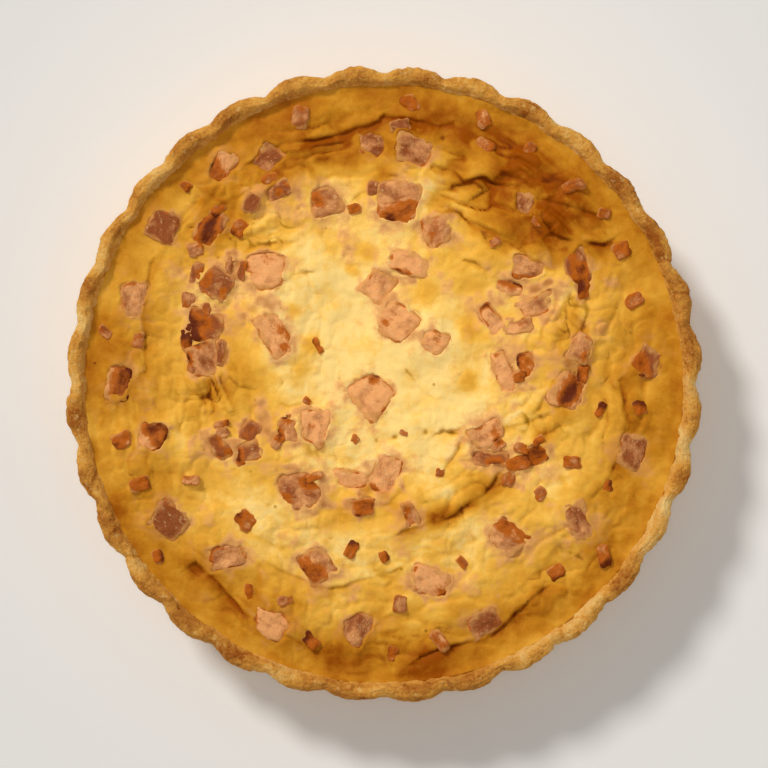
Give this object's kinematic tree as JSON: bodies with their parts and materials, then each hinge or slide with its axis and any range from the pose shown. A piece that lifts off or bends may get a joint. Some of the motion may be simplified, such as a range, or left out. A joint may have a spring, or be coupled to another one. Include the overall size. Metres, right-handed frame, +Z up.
{
  "type": "quiche lorraine",
  "caption": "Round deep-fill quiche: a fluted shortcrust pastry case filled with a baked egg and cheese custard, with diced bacon set into its creased, browned top.",
  "frame": {"origin": "centre of the bounding box at the flat underside of the pastry case", "axes": "+Z up out of the filling, +Y towards the top of the reference picture, +X towards its right"},
  "size_m": [0.213, 0.213, 0.0339],
  "materials": {
    "pastry": "dry crumbly baked shortcrust, golden, browner on the rim",
    "filling": "soft satin egg custard, pale yellow with golden brown baked patches",
    "bacon": "moist cooked bacon, dusky pink with browned edges"
  },
  "bodies": {
    "root": {"pastry_case": "pastry", "filling": "filling", "bacon_01": "bacon", "bacon_02": "bacon", "bacon_03": "bacon", "bacon_04": "bacon", "bacon_05": "bacon", "bacon_06": "bacon", "bacon_07": "bacon", "bacon_08": "bacon", "bacon_09": "bacon", "bacon_10": "bacon", "bacon_11": "bacon", "bacon_12": "bacon", "bacon_13": "bacon", "bacon_14": "bacon", "bacon_15": "bacon", "bacon_16": "bacon", "bacon_17": "bacon", "bacon_18": "bacon", "bacon_19": "bacon", "bacon_20": "bacon", "bacon_21": "bacon", "bacon_22": "bacon", "bacon_23": "bacon", "bacon_24": "bacon", "bacon_25": "bacon", "bacon_26": "bacon", "bacon_27": "bacon", "bacon_28": "bacon", "bacon_29": "bacon", "bacon_30": "bacon", "bacon_31": "bacon", "bacon_32": "bacon", "bacon_33": "bacon", "bacon_34": "bacon", "bacon_35": "bacon", "bacon_36": "bacon", "bacon_37": "bacon", "bacon_38": "bacon", "bacon_39": "bacon", "bacon_40": "bacon", "bacon_41": "bacon", "bacon_42": "bacon", "bacon_43": "bacon", "bacon_44": "bacon", "bacon_45": "bacon", "bacon_46": "bacon", "bacon_47": "bacon", "bacon_48": "bacon", "bacon_49": "bacon", "bacon_50": "bacon", "bacon_51": "bacon", "bacon_52": "bacon", "bacon_53": "bacon", "bacon_54": "bacon", "bacon_55": "bacon", "bacon_56": "bacon", "bacon_57": "bacon"}
  },
  "joints": []
}
